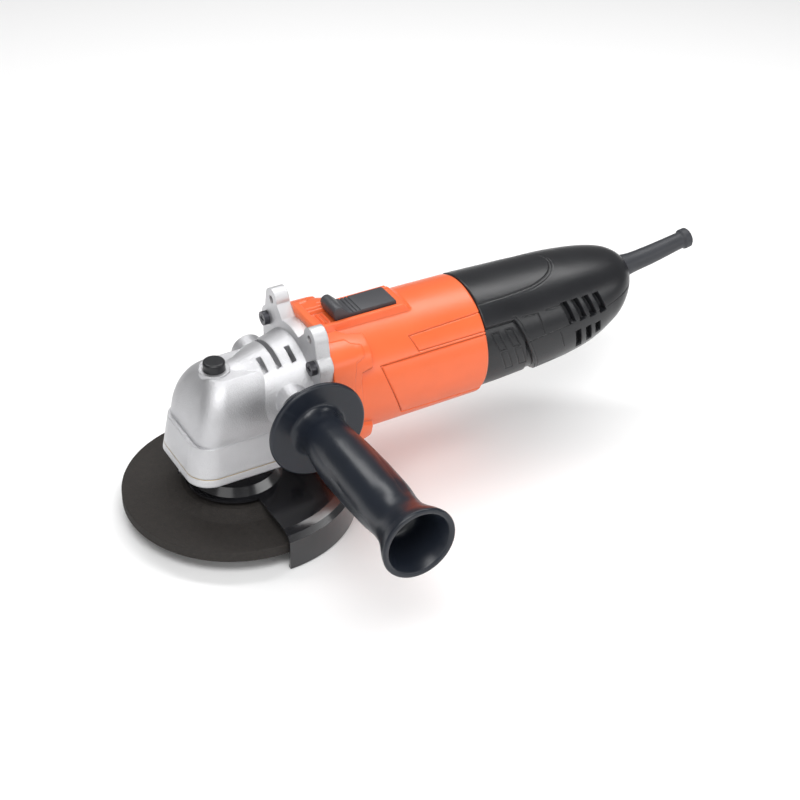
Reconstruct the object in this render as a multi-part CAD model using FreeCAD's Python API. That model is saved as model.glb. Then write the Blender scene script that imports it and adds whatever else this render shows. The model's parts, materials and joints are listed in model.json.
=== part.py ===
"""Angle grinder for a 125 mm wheel, as the pieces it comes apart into on a bench.

The model is drawn about the point where the spindle axis crosses the motor axis: +X runs back along
the motor to the rear handle, +Z up, and the side handle stands out along -Y. On export every piece
is lifted so that the origin is the centre of the clamp nut's outer face. Lengths are millimetres.
"""
import FreeCAD
import Part
import math
import os

V = FreeCAD.Vector
X, Y, Z = V(1, 0, 0), V(0, 1, 0), V(0, 0, 1)

# ---- driving dimensions ----
wheel_dia = 125.0
wheel_thick = 6.4
wheel_hub_thick = 5.6
wheel_step = 3.6            # how far the hub stands above the rim
wheel_hub_r = 30.0
wheel_cone_r = 38.0
wheel_bore_r = 11.1
wheel_top_z = -53.6         # upper face of the rim

run = 0.04                  # radial clearance of a running fit
seat = 0.01                 # radial clearance of a seated fit
gap = 0.3                   # air between neighbours that don't touch
loose = 0.5                 # air round inner pieces that pass through walls

body_len = 95.0             # motor housing
body_r_front = 35.5
body_r_rear = 34.3
body_wall = 3.3
flange_x = 35.0             # front face of the gear housing's flange
flange_thick = 8.0
flange_r = 35.5
ear_y, ear_z = 22.5, 40.3
ear_r = 6.3
ear_hole_r = 2.25
flange_screw_r = 2.0
flange_screw_head_r = 3.9
flange_screw_head = 3.2
flange_screw_len = 22.0
flange_screws_at = [(28.0, 26.0), (30.0, -20.0)]
boss_r = 6.6
boss_len = 19.0

head_bottom_z = -31.0
cover_thick = 4.0
gasket_thick = 0.5
bead_z = -9.3
head_front_x = -34.0
head_half_w = 27.3
head_corner_r = 13.5
bead_front_x = -31.5
bead_half_w = 24.7
bead_corner_r = 12.5
dome_inset = 2.2
dome_side_inset = 0.5        # smaller, so the sides stay thick round the gear room
barrel_x = 4.0
barrel_r_front = 23.0
barrel_r_rear = 31.0
gear_room_r = 22.2
gear_room_top = -1.2
pinion_room_r = 9.6
pinion_room_x = 6.0
slot_wide = 2.6             # cooling slots in the top of the head

neck_r = 21.0
neck_bottom_z = -44.5
cover_screw_r = 2.0
cover_screw_head_r = 3.6
cover_screw_head = 2.4
cover_screw_len = 14.0
cover_screws_at = [(-20.0, 18.5), (27.5, 19.5)]

teeth_pinion = 11
teeth_crown = 38
gear_module = 1.105
pressure_deg = 25.0
profile_shift = 0.25        # of the module, added to the pinion and taken off the crown gear
tooth_clearance = 0.25      # of the module
backlash = 0.10             # taken off each tooth, on each flank
face_share = 0.33           # face width as a share of the cone distance
crown_back = 9.0            # depth of the crown gear behind its pitch circle

spindle_r = 6.0
spindle_journal_r = 4.0
spindle_thread_r = 6.95
spindle_shoulder_r = 8.5
spindle_top_z = 13.0
spindle_end_gap = 1.0       # thread end above the nut's outer face
spindle_bearing_r = 16.0
spindle_bearing_w = 10.0
bush_r = 6.0
bush_len = 10.0
retainer_thick = 1.3

inner_flange_r = 19.5
inner_flange_thick = 4.4
nut_r = 18.0
nut_thick = 4.2
nut_spigot = 2.8
nut_pin_pcd = 30.0
nut_pin_r = 2.5

guard_clear = 3.5           # air between the wheel and the skirt
guard_shoulder = 7.0        # width of the sloping shoulder
guard_sheet = 1.4
guard_plate_z = -46.0       # upper face of the flat part
guard_shoulder_z = -50.4    # upper edge of the skirt
guard_skirt_z = -68.0
guard_lip = 2.2
guard_flare_r = 28.5
guard_collar_top = -36.0
guard_span_deg = 180.0
guard_ear_deg = 160.0
guard_ear_out = 31.5
guard_ear_thick = 2.4
guard_split = 2.4
guard_screw_r = 2.0
guard_screw_z = -39.6

lock_x = -9.5
lock_button_r = 6.0
lock_top_z = 28.0
lock_button_tall = 7.0
lock_pin_r = 2.2
lock_pin_tip_z = -6.4
lock_hole_r = 2.6
lock_recess_r = 4.8         # hollow under the button, for its spring
lock_recess = 3.0
lock_pin_hold = 2.5         # pin inside the button, above the hollow
lock_room_top = 23.0
lock_room_floor = 15.0
lock_spring_wire = 0.8

shaft_r = 5.5
shaft_bearing_r = 5.0
shaft_rear_r = 4.0
shaft_pinion_r = 2.5
shaft_thread_r = 2.0
pinion_nut_w = 9.0
pinion_nut_thick = 4.4
front_bearing_x = 26.0
front_bearing_w = 9.0
front_bearing_r = 15.0
rear_bearing_back = 7.0     # its front face, ahead of the motor housing's rear end
rear_bearing_w = 7.0
rear_bearing_r = 11.0
cup_wall = 1.6
fan_x = 45.5
fan_len = 9.0
fan_r = 28.0
fan_hub_r = 9.0
fan_blades = 18
stack_x = 63.0
stack_len = 38.0
armature_r = 16.7
armature_slots = 12
slot_r = 1.7
air_gap = 0.5
stator_r = 28.5
stator_yoke_r = 24.0
pole_half_w = 13.0
coil_wide = 6.5
coil_over = 6.0
comm_back = 25.0
comm_len = 13.0
comm_r = 12.0
comm_bars = 24
hump_len = 4.6              # raised front of the switch's pad
hump_top_z = 40.6
brush_back = 18.5
brush_w = 6.0
brush_h = 9.0
brush_len = 11.0
holder_wall = 1.4

slider_x0, slider_x1 = 57.0, 95.0
slider_half_w = 7.8
slider_thick = 3.0
slider_hump = 4.9
slider_hump_len = 6.5
slider_travel = 8.0
slider_foot_len = 9.0
slider_foot_half_w = 3.0
pad_top_z = 36.2
pad_half_w = 12.0
rod_half_w = 2.5
rod_thick = 2.0
rod_z = 28.9
rod_end = 36.0              # behind the motor housing, as all lengths of the handle below
switch_len, switch_half_w, switch_tall = 30.0, 9.0, 24.0

handle_wall = 2.6
handle_len = 110.0
# distance behind the motor housing, top height, bottom depth and half width of the rear handle
handle_shape = [
    (0.3, 34.3, 34.3, 34.3), (14.0, 33.8, 33.9, 34.0), (28.0, 33.3, 33.0, 33.6),
    (45.0, 32.9, 31.9, 32.9), (61.0, 32.5, 30.0, 31.9), (73.0, 31.6, 27.6, 30.4),
    (84.0, 30.3, 23.6, 28.2), (93.0, 28.6, 17.6, 25.4), (100.0, 26.6, 10.8, 21.6),
    (105.5, 23.8, 3.4, 16.6), (108.8, 20.9, -3.0, 11.6), (110.0, 18.9, -6.3, 8.3),
]
split_z0, split_slope = 2.1, 0.088     # the shells part on this rising plane
handle_screw_r = 1.9
handle_screw_head_r = 3.6
handle_screws_at = [(22.0, 25.0), (88.0, 17.0)]
vent_wide = 3.2
upper_vents = [(53.4, 57.7), (60.7, 65.8), (68.1, 73.3), (75.7, 80.9)]
lower_vents = [(62.1, 68.3, -36.0), (69.7, 74.6, -30.0), (76.2, 79.6, -22.0)]
upper_vent_deg = (35.0, 12.0)
lower_vent_top_deg = -5.0

cord_guard_back = 98.5
cord_guard_z = 11.5
cord_guard_rise_deg = 5.7
cord_guard_len = 61.0
cord_guard_bore_r = 3.3
cord_guard_lip_r = 6.2
cord_guard_r0, cord_guard_r1 = 6.8, 4.9
cord_guard_collar_r = 9.0
clamp_back = 16.0           # cord clamp's distance in front of the cord guard
clamp_half_len = 4.0
clamp_half_w = 11.0
clamp_tall = 6.0
clamp_screw_y = 8.0
clamp_screw_r = 1.6
clamp_screw_deep = 9.0

side_x, side_z = 23.5, 6.8  # axis of the side handle
side_hole_r = 4.0
side_stud_r = 3.95
side_boss_r = 9.5
side_boss_y = 31.0
side_hole_floor = 16.0
side_disc_y = 54.6          # face of the hand stop
side_disc_r = 27.2
side_disc_thick = 3.4
side_end_y = 159.0
side_bell_r = 19.8
side_grip_r = 14.6
side_mouth_depth = 26.0

# ---- sizes that follow ----
wheel_r = wheel_dia / 2
hub_top_z = wheel_top_z + wheel_step
hub_bottom_z = hub_top_z - wheel_hub_thick
nut_face_z = hub_bottom_z - nut_thick
body_x0 = flange_x + flange_thick
body_x1 = body_x0 + body_len
guard_r = wheel_r + guard_clear
guard_shoulder_r = guard_r - guard_shoulder
rear_bearing_x = body_x1 - rear_bearing_back
comm_x = body_x1 - comm_back
brush_x = body_x1 - brush_back
rod_end_x = body_x1 + rod_end
handle_end_x = body_x1 + handle_len
cord_guard_x = body_x1 + cord_guard_back
body_in_r = body_r_front - body_wall
cover_top_z = head_bottom_z + cover_thick
housing_bottom_z = cover_top_z + gasket_thick
bearing_z0 = housing_bottom_z - retainer_thick - spindle_bearing_w
stack_x1 = stack_x + stack_len
bore_r = armature_r + air_gap
rod_top_z = rod_z + rod_thick
clamp_x = cord_guard_x - clamp_back
clamp_top_z = split_z0 + split_slope * (clamp_x - body_x1) + 1.5
clamp_base_z = clamp_top_z - clamp_tall
spigot_len = 2.4
spigot_r = body_in_r - 2.0
cord_dir = V(math.cos(math.radians(cord_guard_rise_deg)), 0, math.sin(math.radians(cord_guard_rise_deg)))


# ---- helpers ----
def cyl(radius, start, direction, length):
    return Part.makeCylinder(radius, length, start, direction)


def cyl_x(radius, x0, x1, y=0.0, z=0.0):
    return cyl(radius, V(x0, y, z), X, x1 - x0)


def cyl_y(radius, y0, y1, x=0.0, z=0.0):
    return cyl(radius, V(x, y0, z), Y, y1 - y0)


def cyl_z(radius, z0, z1, x=0.0, y=0.0):
    return cyl(radius, V(x, y, z0), Z, z1 - z0)


def cone_x(r0, r1, x0, x1, y=0.0, z=0.0):
    return Part.makeCone(r0, r1, x1 - x0, V(x0, y, z), X)


def tube_x(outer, inner, x0, x1):
    return cyl_x(outer, x0, x1).cut(cyl_x(inner, x0 - 1, x1 + 1))


def tube_z(outer, inner, z0, z1):
    return cyl_z(outer, z0, z1).cut(cyl_z(inner, z0 - 1, z1 + 1))


def box(x0, x1, y0, y1, z0, z1):
    return Part.makeBox(x1 - x0, y1 - y0, z1 - z0, V(x0, y0, z0))


def turned(points, start, axis, degrees=360.0):
    """Solid of a closed outline of points turned about an axis through start."""
    face = Part.Face(Part.makePolygon(points + points[:1]))
    return face.revolve(start, axis, degrees)


def turned_z(outline, first_deg=0.0, degrees=360.0):
    """Outline of (radius, z) turned about Z, from an azimuth."""
    solid = turned([V(r, 0, z) for r, z in outline], V(0, 0, 0), Z, degrees)
    solid.rotate(V(0, 0, 0), Z, first_deg)
    return solid


def turned_x(outline):
    """Outline of (x, radius) turned about X."""
    return turned([V(x, 0, r) for x, r in outline], V(0, 0, 0), X)


def fused(shapes):
    whole = shapes[0]
    if len(shapes) > 1:
        whole = whole.fuse(shapes[1:])
    return whole.removeSplitter()


def around(shape, count, axis, start=V(0, 0, 0), first_deg=0.0):
    """Copies of a shape, evenly spaced about an axis."""
    copies = []
    for i in range(count):
        copy = shape.copy()
        copy.rotate(start, axis, first_deg + 360.0 * i / count)
        copies.append(copy)
    return copies


def both_sides(shape):
    return [shape, shape.mirror(V(0, 0, 0), Y)]


def plan(z, x0, x1, half_w, front_r, rear_r=3.0):
    """Plan outline of the gear head at one height: a rounded front and a squarer rear."""
    s = math.sqrt(0.5)
    points = [
        V(x0 + front_r, -half_w, z), V(x1 - rear_r, -half_w, z),
        V(x1, -half_w + rear_r, z), V(x1, half_w - rear_r, z),
        V(x1 - rear_r, half_w, z), V(x0 + front_r, half_w, z),
        V(x0, half_w - front_r, z), V(x0, -half_w + front_r, z),
    ]
    middles = [
        V(x1 - rear_r + s * rear_r, -half_w + rear_r - s * rear_r, z),
        V(x1 - rear_r + s * rear_r, half_w - rear_r + s * rear_r, z),
        V(x0 + front_r - s * front_r, half_w - front_r + s * front_r, z),
        V(x0 + front_r - s * front_r, -half_w + front_r - s * front_r, z),
    ]
    edges = []
    for i in range(4):
        a, b, c = points[2 * i], points[2 * i + 1], points[(2 * i + 2) % 8]
        edges.append(Part.makeLine(a, b))
        edges.append(Part.Arc(b, middles[i], c).toShape())
    return Part.Wire(edges)


def lofted(wires, ruled=False):
    return Part.makeLoft(wires, True, ruled)


def coil(radius, wire_r, base, direction, length, turns):
    """Stack of rings joined by a rail: a spring drawn as its closed turns."""
    pitch = (length - 2 * wire_r) / turns
    rings = [
        Part.makeTorus(radius, wire_r, base + direction * (wire_r + i * pitch), direction)
        for i in range(turns + 1)
    ]
    side = X if abs(direction.dot(X)) < 0.5 else Z
    rail = cyl(wire_r * 0.9, base + side * radius + direction * wire_r, direction, length - 2 * wire_r)
    return fused(rings + [rail])


# ---- bevel gears ----
def involute(angle):
    return math.tan(angle) - angle


def gap_outline(teeth, pitch_deg, shift):
    """Gap between two teeth, as points in the plane square to the pitch cone at its large end."""
    gamma = math.radians(pitch_deg)
    alpha = math.radians(pressure_deg)
    cone = gear_module * math.hypot(teeth_pinion, teeth_crown) / 2
    pitch_r = gear_module * teeth / 2 / math.cos(gamma)
    base_r = pitch_r * math.cos(alpha)
    tip_r = pitch_r + gear_module * (1 + shift)
    root_r = pitch_r - gear_module * (1 - shift + tooth_clearance)
    thick = gear_module * (math.pi / 2 + 2 * shift * math.tan(alpha)) - 2 * backlash
    pitch_half = math.pi * gear_module / 2 / pitch_r
    flank = []
    steps = 6
    for i in range(steps + 1):
        radius = root_r + (tip_r + 0.6 - root_r) * i / steps
        angle = math.acos(base_r / radius) if radius > base_r else 0.0
        tooth_half = thick / 2 / pitch_r + involute(alpha) - involute(angle)
        flank.append((radius, max(pitch_half - tooth_half, 0.01)))
    points = []
    for radius, half in flank[::-1] + [(r, -h) for r, h in flank]:
        turn = half / math.cos(gamma)
        along = cone / math.cos(gamma) - radius * math.sin(gamma)
        out = radius * math.cos(gamma)
        point = V(along, out * math.sin(turn), out * math.cos(turn))
        reach = cone / (point.x * math.cos(gamma) + point.z * math.sin(gamma))
        points.append(point * reach)
    return points


def cut_gaps(blank, teeth, pitch_deg, shift, start_turns):
    """Cuts the tooth gaps of a gear whose axis is X and whose cone's apex is the origin."""
    outline = gap_outline(teeth, pitch_deg, shift)
    wires = []
    for share in (1.12, 1 - face_share - 0.12):
        points = [p * share for p in outline]
        wires.append(Part.makePolygon(points + points[:1]))
    cutter = lofted(wires, True)
    return blank.cut(around(cutter, teeth, X, first_deg=360.0 * start_turns / teeth))


def gear_blank(teeth, pitch_deg, shift, outline_tail):
    """Turned blank about X: the toothed face between the two back cones, then the given tail."""
    gamma = math.radians(pitch_deg)
    cone = gear_module * math.hypot(teeth_pinion, teeth_crown) / 2
    along, out = V(math.cos(gamma), 0, math.sin(gamma)), V(-math.sin(gamma), 0, math.cos(gamma))
    tip = gear_module * (1 + shift)
    root = gear_module * (1 - shift + tooth_clearance) + 0.4
    inner = 1 - face_share
    corners = [
        (along * cone + out * tip) * inner, along * cone + out * tip,
        along * cone - out * root,
    ]
    inner_root = (along * cone - out * root) * inner
    points = corners + [V(x, 0, r) for x, r in outline_tail] + [inner_root]
    return turned(points, V(0, 0, 0), X)


# ---- gear head ----
def head_screw_holes(radius, z0, z1):
    holes = []
    for x, y in cover_screws_at:
        holes += both_sides(cyl_z(radius, z0, z1, x, y))
    return holes


def flange_screw_holes(radius, x0, x1):
    holes = []
    for y, z in flange_screws_at:
        holes += both_sides(cyl_x(radius, x0, x1, y, z))
    return holes


def flange_plate():
    disc = cyl_x(flange_r, flange_x, body_x0)
    corners = flange_screw_holes(boss_r, flange_x, body_x0)
    webs = []
    for y, z in flange_screws_at:
        side = 1 if z > 0 else -1
        points = [V(flange_x, 0, side * (abs(z) + boss_r - 1)), V(flange_x, y, side * (abs(z) + boss_r - 0.2))]
        points += [V(flange_x, y + boss_r - 0.2, z), V(flange_x, y + boss_r - 2, 0), V(flange_x, 0, 0)]
        web = Part.Face(Part.makePolygon(points + points[:1])).extrude(X * flange_thick)
        webs += both_sides(web)
    ear = cyl_x(ear_r, flange_x, body_x0, ear_y, ear_z)
    points = [
        V(flange_x, ear_y - ear_r, ear_z), V(flange_x, ear_y + ear_r, ear_z),
        V(flange_x, ear_y + ear_r + 4, 22), V(flange_x, 2, 22), V(flange_x, 6, 31),
    ]
    web = Part.Face(Part.makePolygon(points + points[:1])).extrude(X * flange_thick)
    return [disc] + corners + webs + both_sides(ear) + both_sides(web)


def head_outer():
    band = lofted([
        plan(housing_bottom_z, head_front_x, flange_x + 1, head_half_w, head_corner_r),
        plan(bead_z, bead_front_x, flange_x + 1, bead_half_w, bead_corner_r),
    ], True)
    dome = lofted([
        plan(bead_z - 1, bead_front_x + dome_inset, flange_x + 1, bead_half_w - dome_side_inset, 11.0),
        plan(6.0, -26.0, flange_x + 1, 23.3, 11.0),
        plan(16.0, -21.0, flange_x + 1, 18.8, 10.0),
        plan(22.0, -15.5, flange_x + 1, 12.0, 8.0),
    ])
    barrel = cone_x(barrel_r_front, barrel_r_rear, barrel_x, flange_x + 1)
    barrel = barrel.common(box(barrel_x, flange_x + 1, -60, 60, bead_z - 8, 60))
    nose = Part.makeSphere(barrel_r_front, V(barrel_x, 0, 0))
    nose = nose.common(box(-24, barrel_x + 0.5, -60, 60, 0, lock_room_top))
    collar = cyl_z(lock_button_r + 2.2, 15.0, lock_room_top, lock_x)
    bosses = both_sides(cyl_y(side_boss_r, 12.0, side_boss_y, side_x, side_z))
    return fused([band, dome, barrel, nose, collar] + bosses + flange_plate())


def cooling_slots():
    cuts = []
    for x, y, length in ((20.0, 0.0, 30.0), (12.5, -9.0, 10.0), (28.0, -11.0, 10.0)):
        cuts.append(box(x, x + slot_wide, y - length / 2, y + length / 2, 20.0, 40.0))
    return cuts


def make_gear_housing():
    outer = head_outer()
    room = [
        cyl_z(gear_room_r, housing_bottom_z - 2, gear_room_top),
        cyl_x(pinion_room_r, pinion_room_x, front_bearing_x + 0.5),
        cyl_z(spindle_journal_r + 1.0, gear_room_top - 1, spindle_top_z + 1.5),
        cyl_z(bush_r + seat, spindle_top_z - bush_len, spindle_top_z + 0.2),
        cyl_x(front_bearing_r + seat, front_bearing_x, body_x0 + 1),
        cyl_x(front_bearing_r + 6, front_bearing_x + front_bearing_w, body_x0 + 1),
        cyl_z(lock_pin_r + run, gear_room_top - 1, lock_room_floor + 1, lock_x),
        cyl_z(lock_button_r + run, lock_room_floor, lock_room_top + 1, lock_x),
    ]
    side_holes = [
        cyl_y(side_hole_r, side_hole_floor, side_boss_y + 1, side_x, side_z),
        cyl_y(side_hole_r, -side_boss_y - 1, -side_hole_floor, side_x, side_z),
    ]
    holes = flange_screw_holes(flange_screw_r + 0.3, flange_x - 12, body_x0 + 1)
    holes += flange_screw_holes(flange_screw_head_r + loose, flange_x - 12, flange_x)
    holes += both_sides(cyl_x(ear_hole_r, flange_x - 1, body_x0 + 1, ear_y, ear_z))
    holes += head_screw_holes(cover_screw_r + seat, housing_bottom_z - 1, cover_top_z + cover_screw_len)
    head = outer.cut(room + side_holes + holes + cooling_slots())
    pads = tube_z(spindle_journal_r + 2.6, spindle_journal_r + 1.0, gear_room_top, spindle_top_z - bush_len)
    return {"gear_housing": biggest(head.fuse(pads).removeSplitter())}


def biggest(shape):
    """The main solid of a shape, without any loose sliver a cut left behind."""
    return max(shape.Solids, key=lambda solid: solid.Volume)


def head_plate(z0, z1):
    drop = (head_half_w - bead_half_w) / (housing_bottom_z - bead_z)
    wires = []
    for z in (z0, z1):
        wider = drop * (z - housing_bottom_z)
        wires.append(plan(z, head_front_x - wider, flange_x - gap, head_half_w + wider, head_corner_r))
    return lofted(wires, True)


def make_bearing_cover():
    plate = head_plate(head_bottom_z, cover_top_z)
    neck = cyl_z(neck_r, neck_bottom_z, head_bottom_z + 1)
    bearing = cyl_z(spindle_bearing_r + seat, bearing_z0, cover_top_z + 1)
    passage = cyl_z(spindle_shoulder_r + 1.2, neck_bottom_z - 1, bearing_z0 + 1)
    flange_room = cyl_z(inner_flange_r - 6, neck_bottom_z - 1, neck_bottom_z + 2.5)
    retainer_room = cyl_z(spindle_bearing_r + 2 + seat, cover_top_z - retainer_thick + gasket_thick, cover_top_z + 1)
    holes = head_screw_holes(cover_screw_r + 0.3, head_bottom_z - 1, cover_top_z + 1)
    cover = fused([plate, neck]).cut([bearing, passage, flange_room, retainer_room] + holes)
    screws = []
    for x, y in cover_screws_at:
        head = cyl_z(cover_screw_head_r, head_bottom_z - cover_screw_head, head_bottom_z, x, y)
        cross = box(x - 2, x + 2, y - 0.4, y + 0.4, head_bottom_z - 4, head_bottom_z - cover_screw_head + 1.2)
        shank = cyl_z(cover_screw_r, head_bottom_z - 0.5, cover_top_z + cover_screw_len - 1, x, y)
        screws += both_sides(head.fuse(shank).removeSplitter().cut(cross))
    gasket = head_plate(cover_top_z, housing_bottom_z).cut(
        [cyl_z(gear_room_r, cover_top_z - 1, housing_bottom_z + 1)]
        + head_screw_holes(cover_screw_r + 0.3, cover_top_z - 1, housing_bottom_z + 1))
    return {
        "bearing_cover": biggest(cover),
        "bearing_cover_screws": Part.makeCompound(screws),
        "cover_gasket": biggest(gasket),
    }


def make_flange_screws():
    screws = []
    for y, z in flange_screws_at:
        head = cyl_x(flange_screw_head_r, flange_x - flange_screw_head, flange_x, y, z)
        shank = cyl_x(flange_screw_r, flange_x - 1, flange_x + flange_screw_len, y, z)
        start = flange_x - flange_screw_head - 1
        cross = box(start, start + 2.4, y - 2.2, y + 2.2, z - 0.45, z + 0.45)
        cross = cross.fuse(box(start, start + 2.4, y - 0.45, y + 0.45, z - 2.2, z + 2.2))
        screws += both_sides(head.fuse(shank).removeSplitter().cut(cross))
    return {"flange_screws": Part.makeCompound(screws)}


def make_spindle_group():
    crown_deg = math.degrees(math.atan2(teeth_crown, teeth_pinion))
    pitch_z = gear_module * teeth_pinion / 2
    hub_r = 11.0
    tail = [
        (pitch_z + crown_back, 19.0), (pitch_z + crown_back, spindle_r + seat),
        (pitch_z + 2.5, spindle_r + seat), (pitch_z + 2.5, hub_r + 1.0),
    ]
    crown = cut_gaps(gear_blank(teeth_crown, crown_deg, -profile_shift, tail),
                     teeth_crown, crown_deg, -profile_shift, 0.0)
    crown.rotate(V(0, 0, 0), Y, 90)
    crown.rotate(V(0, 0, 0), Z, 180)
    lock_holes = around(cyl_z(lock_hole_r, -pitch_z - crown_back - 1, 0, lock_x), 4, Z)
    crown = biggest(crown.cut(lock_holes))
    end_z = nut_face_z + spindle_end_gap
    shoulder_z = hub_top_z + inner_flange_thick
    spindle = fused([
        cyl_z(spindle_thread_r, end_z, shoulder_z),
        cyl_z(spindle_shoulder_r, shoulder_z, bearing_z0),
        cyl_z(spindle_r, bearing_z0 - 0.5, -pitch_z - 2.5),
        cyl_z(spindle_journal_r, -pitch_z - 3, spindle_top_z),
    ])
    flats = [box(-30, -spindle_thread_r + 0.9, -30, 30, hub_top_z, shoulder_z)]
    flats += around(flats[0], 2, Z)[1:]
    return {"crown_gear": crown, "spindle": spindle.cut(flats)}


def bearing_ring(outer, inner, width, start, axis):
    """Ball bearing drawn as one ring with the groove between its two races."""
    body = cyl(outer, start, axis, width).cut(cyl(inner, start - axis, axis, width + 2))
    mid, half = (outer + inner) / 2, (outer - inner) * 0.2
    for base in (start - axis, start + axis * (width - 0.8)):
        groove = cyl(mid + half, base, axis, 1.8).cut(cyl(mid - half, base - axis, axis, 4))
        body = body.cut(groove)
    return body


def make_spindle_bearings():
    lower = bearing_ring(spindle_bearing_r, spindle_r + run, spindle_bearing_w, V(0, 0, bearing_z0), Z)
    top = bearing_z0 + spindle_bearing_w
    return {
        "spindle_bearing": lower,
        "spindle_bush": tube_z(bush_r, spindle_journal_r + run, spindle_top_z - bush_len, spindle_top_z),
        "bearing_retainer": tube_z(spindle_bearing_r + 2, spindle_bearing_r - 2.5, top, top + retainer_thick),
    }


def make_wheel_group():
    skew = wheel_hub_thick - wheel_thick
    wheel = turned_z([
        (wheel_bore_r, hub_top_z), (wheel_hub_r, hub_top_z), (wheel_cone_r, wheel_top_z),
        (wheel_r - 0.6, wheel_top_z), (wheel_r, wheel_top_z - 0.6),
        (wheel_r, wheel_top_z - wheel_thick + 0.6), (wheel_r - 0.6, wheel_top_z - wheel_thick),
        (wheel_cone_r - skew, wheel_top_z - wheel_thick), (wheel_hub_r - skew, hub_bottom_z),
        (wheel_bore_r, hub_bottom_z),
    ])
    flange = turned_z([
        (spindle_thread_r + run, hub_top_z), (inner_flange_r, hub_top_z),
        (inner_flange_r, hub_top_z + 2.6), (inner_flange_r - 2, hub_top_z + inner_flange_thick),
        (spindle_thread_r + run, hub_top_z + inner_flange_thick),
    ])
    flange = flange.fuse(tube_z(wheel_bore_r - run, spindle_thread_r + run, hub_top_z - 2.2, hub_top_z + 1))
    nut = turned_z([
        (spindle_thread_r + run, nut_face_z), (nut_r - 0.8, nut_face_z), (nut_r, nut_face_z + 0.8),
        (nut_r, hub_bottom_z), (wheel_bore_r - run, hub_bottom_z),
        (wheel_bore_r - run, hub_bottom_z + nut_spigot), (spindle_thread_r + run, hub_bottom_z + nut_spigot),
    ])
    pin_hole = cyl_z(nut_pin_r, nut_face_z - 1, hub_bottom_z + 1, nut_pin_pcd / 2)
    return {
        "grinding_wheel": wheel,
        "inner_flange": flange.removeSplitter(),
        "clamp_nut": nut.cut(around(pin_hole, 4, Z, first_deg=45)),
    }


def make_guard():
    t = guard_sheet
    collar_r = neck_r + run + 0.02
    collar = turned_z([
        (collar_r, guard_collar_top), (collar_r + t, guard_collar_top), (collar_r + t, -41.5),
        (guard_flare_r - 3, guard_plate_z), (guard_flare_r, guard_plate_z),
        (guard_flare_r, guard_plate_z - t), (guard_flare_r - 3.6, guard_plate_z - t),
        (collar_r, -42.0),
    ])
    cover = turned_z([
        (guard_flare_r - 1, guard_plate_z), (guard_shoulder_r, guard_plate_z),
        (guard_shoulder_r + 4.6, guard_plate_z - 1.4), (guard_r, guard_shoulder_z),
        (guard_r, guard_skirt_z), (guard_r - guard_lip, guard_skirt_z),
        (guard_r - guard_lip, guard_skirt_z + t), (guard_r - t, guard_skirt_z + t),
        (guard_r - t, guard_shoulder_z - 0.5), (guard_shoulder_r + 4.0, guard_plate_z - 1.4 - t),
        (guard_shoulder_r, guard_plate_z - t), (guard_flare_r - 1, guard_plate_z - t),
    ], -guard_span_deg / 2, guard_span_deg)
    half = guard_split / 2
    ears = [box(neck_r + 0.6, guard_ear_out, side * half if side > 0 else -half - guard_ear_thick,
                half + guard_ear_thick if side > 0 else -half,
                guard_screw_z - 3.4, guard_collar_top) for side in (1, -1)]
    screw_at = V(guard_ear_out - 4.4, 0, guard_screw_z)
    reach = half + guard_ear_thick
    hole = cyl(guard_screw_r + run, screw_at - Y * 10, Y, 20)
    slit = box(neck_r - 1, guard_flare_r + 8, -half, half, -60, guard_collar_top + 1)
    head = cyl(3.4, screw_at - Y * (reach + 2.6), Y, 2.6)
    shank = cyl(guard_screw_r, screw_at - Y * (reach + 0.5), Y, 2 * reach + 4.0)
    nut_outline = [
        screw_at + Y * reach + V(math.cos(a), 0, math.sin(a)) * 3.9
        for a in (math.radians(60 * i) for i in range(7))
    ]
    nut = Part.Face(Part.makePolygon(nut_outline)).extrude(Y * 3.0).cut(hole)
    pieces = [fused([collar] + ears).cut([hole, slit]), head.fuse(shank).removeSplitter(), nut]
    for piece in pieces:
        piece.rotate(V(0, 0, 0), Z, guard_ear_deg)
    return {
        "wheel_guard": biggest(pieces[0].fuse(cover).removeSplitter()),
        "guard_clamp_screw": Part.makeCompound(pieces[1:]),
    }


def make_lock_button():
    base_z = lock_top_z - lock_button_tall
    button = cyl_z(lock_button_r, base_z, lock_top_z, lock_x)
    button = button.makeFillet(1.2, [e for e in button.Edges if abs(e.BoundBox.ZMin - lock_top_z) < 1e-6])
    spring_top = base_z + lock_recess
    pin_top = spring_top + lock_pin_hold
    button = button.cut([cyl_z(lock_recess_r, base_z - 1, spring_top, lock_x),
                         cyl_z(lock_pin_r + seat, base_z - 1, pin_top, lock_x)])
    pin = cyl_z(lock_pin_r, lock_pin_tip_z, pin_top, lock_x)
    spring = coil(3.8, lock_spring_wire / 2, V(lock_x, 0, lock_room_floor), Z, spring_top - lock_room_floor, 4)
    return {"lock_button": button, "lock_pin": pin, "lock_spring": spring}


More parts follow.
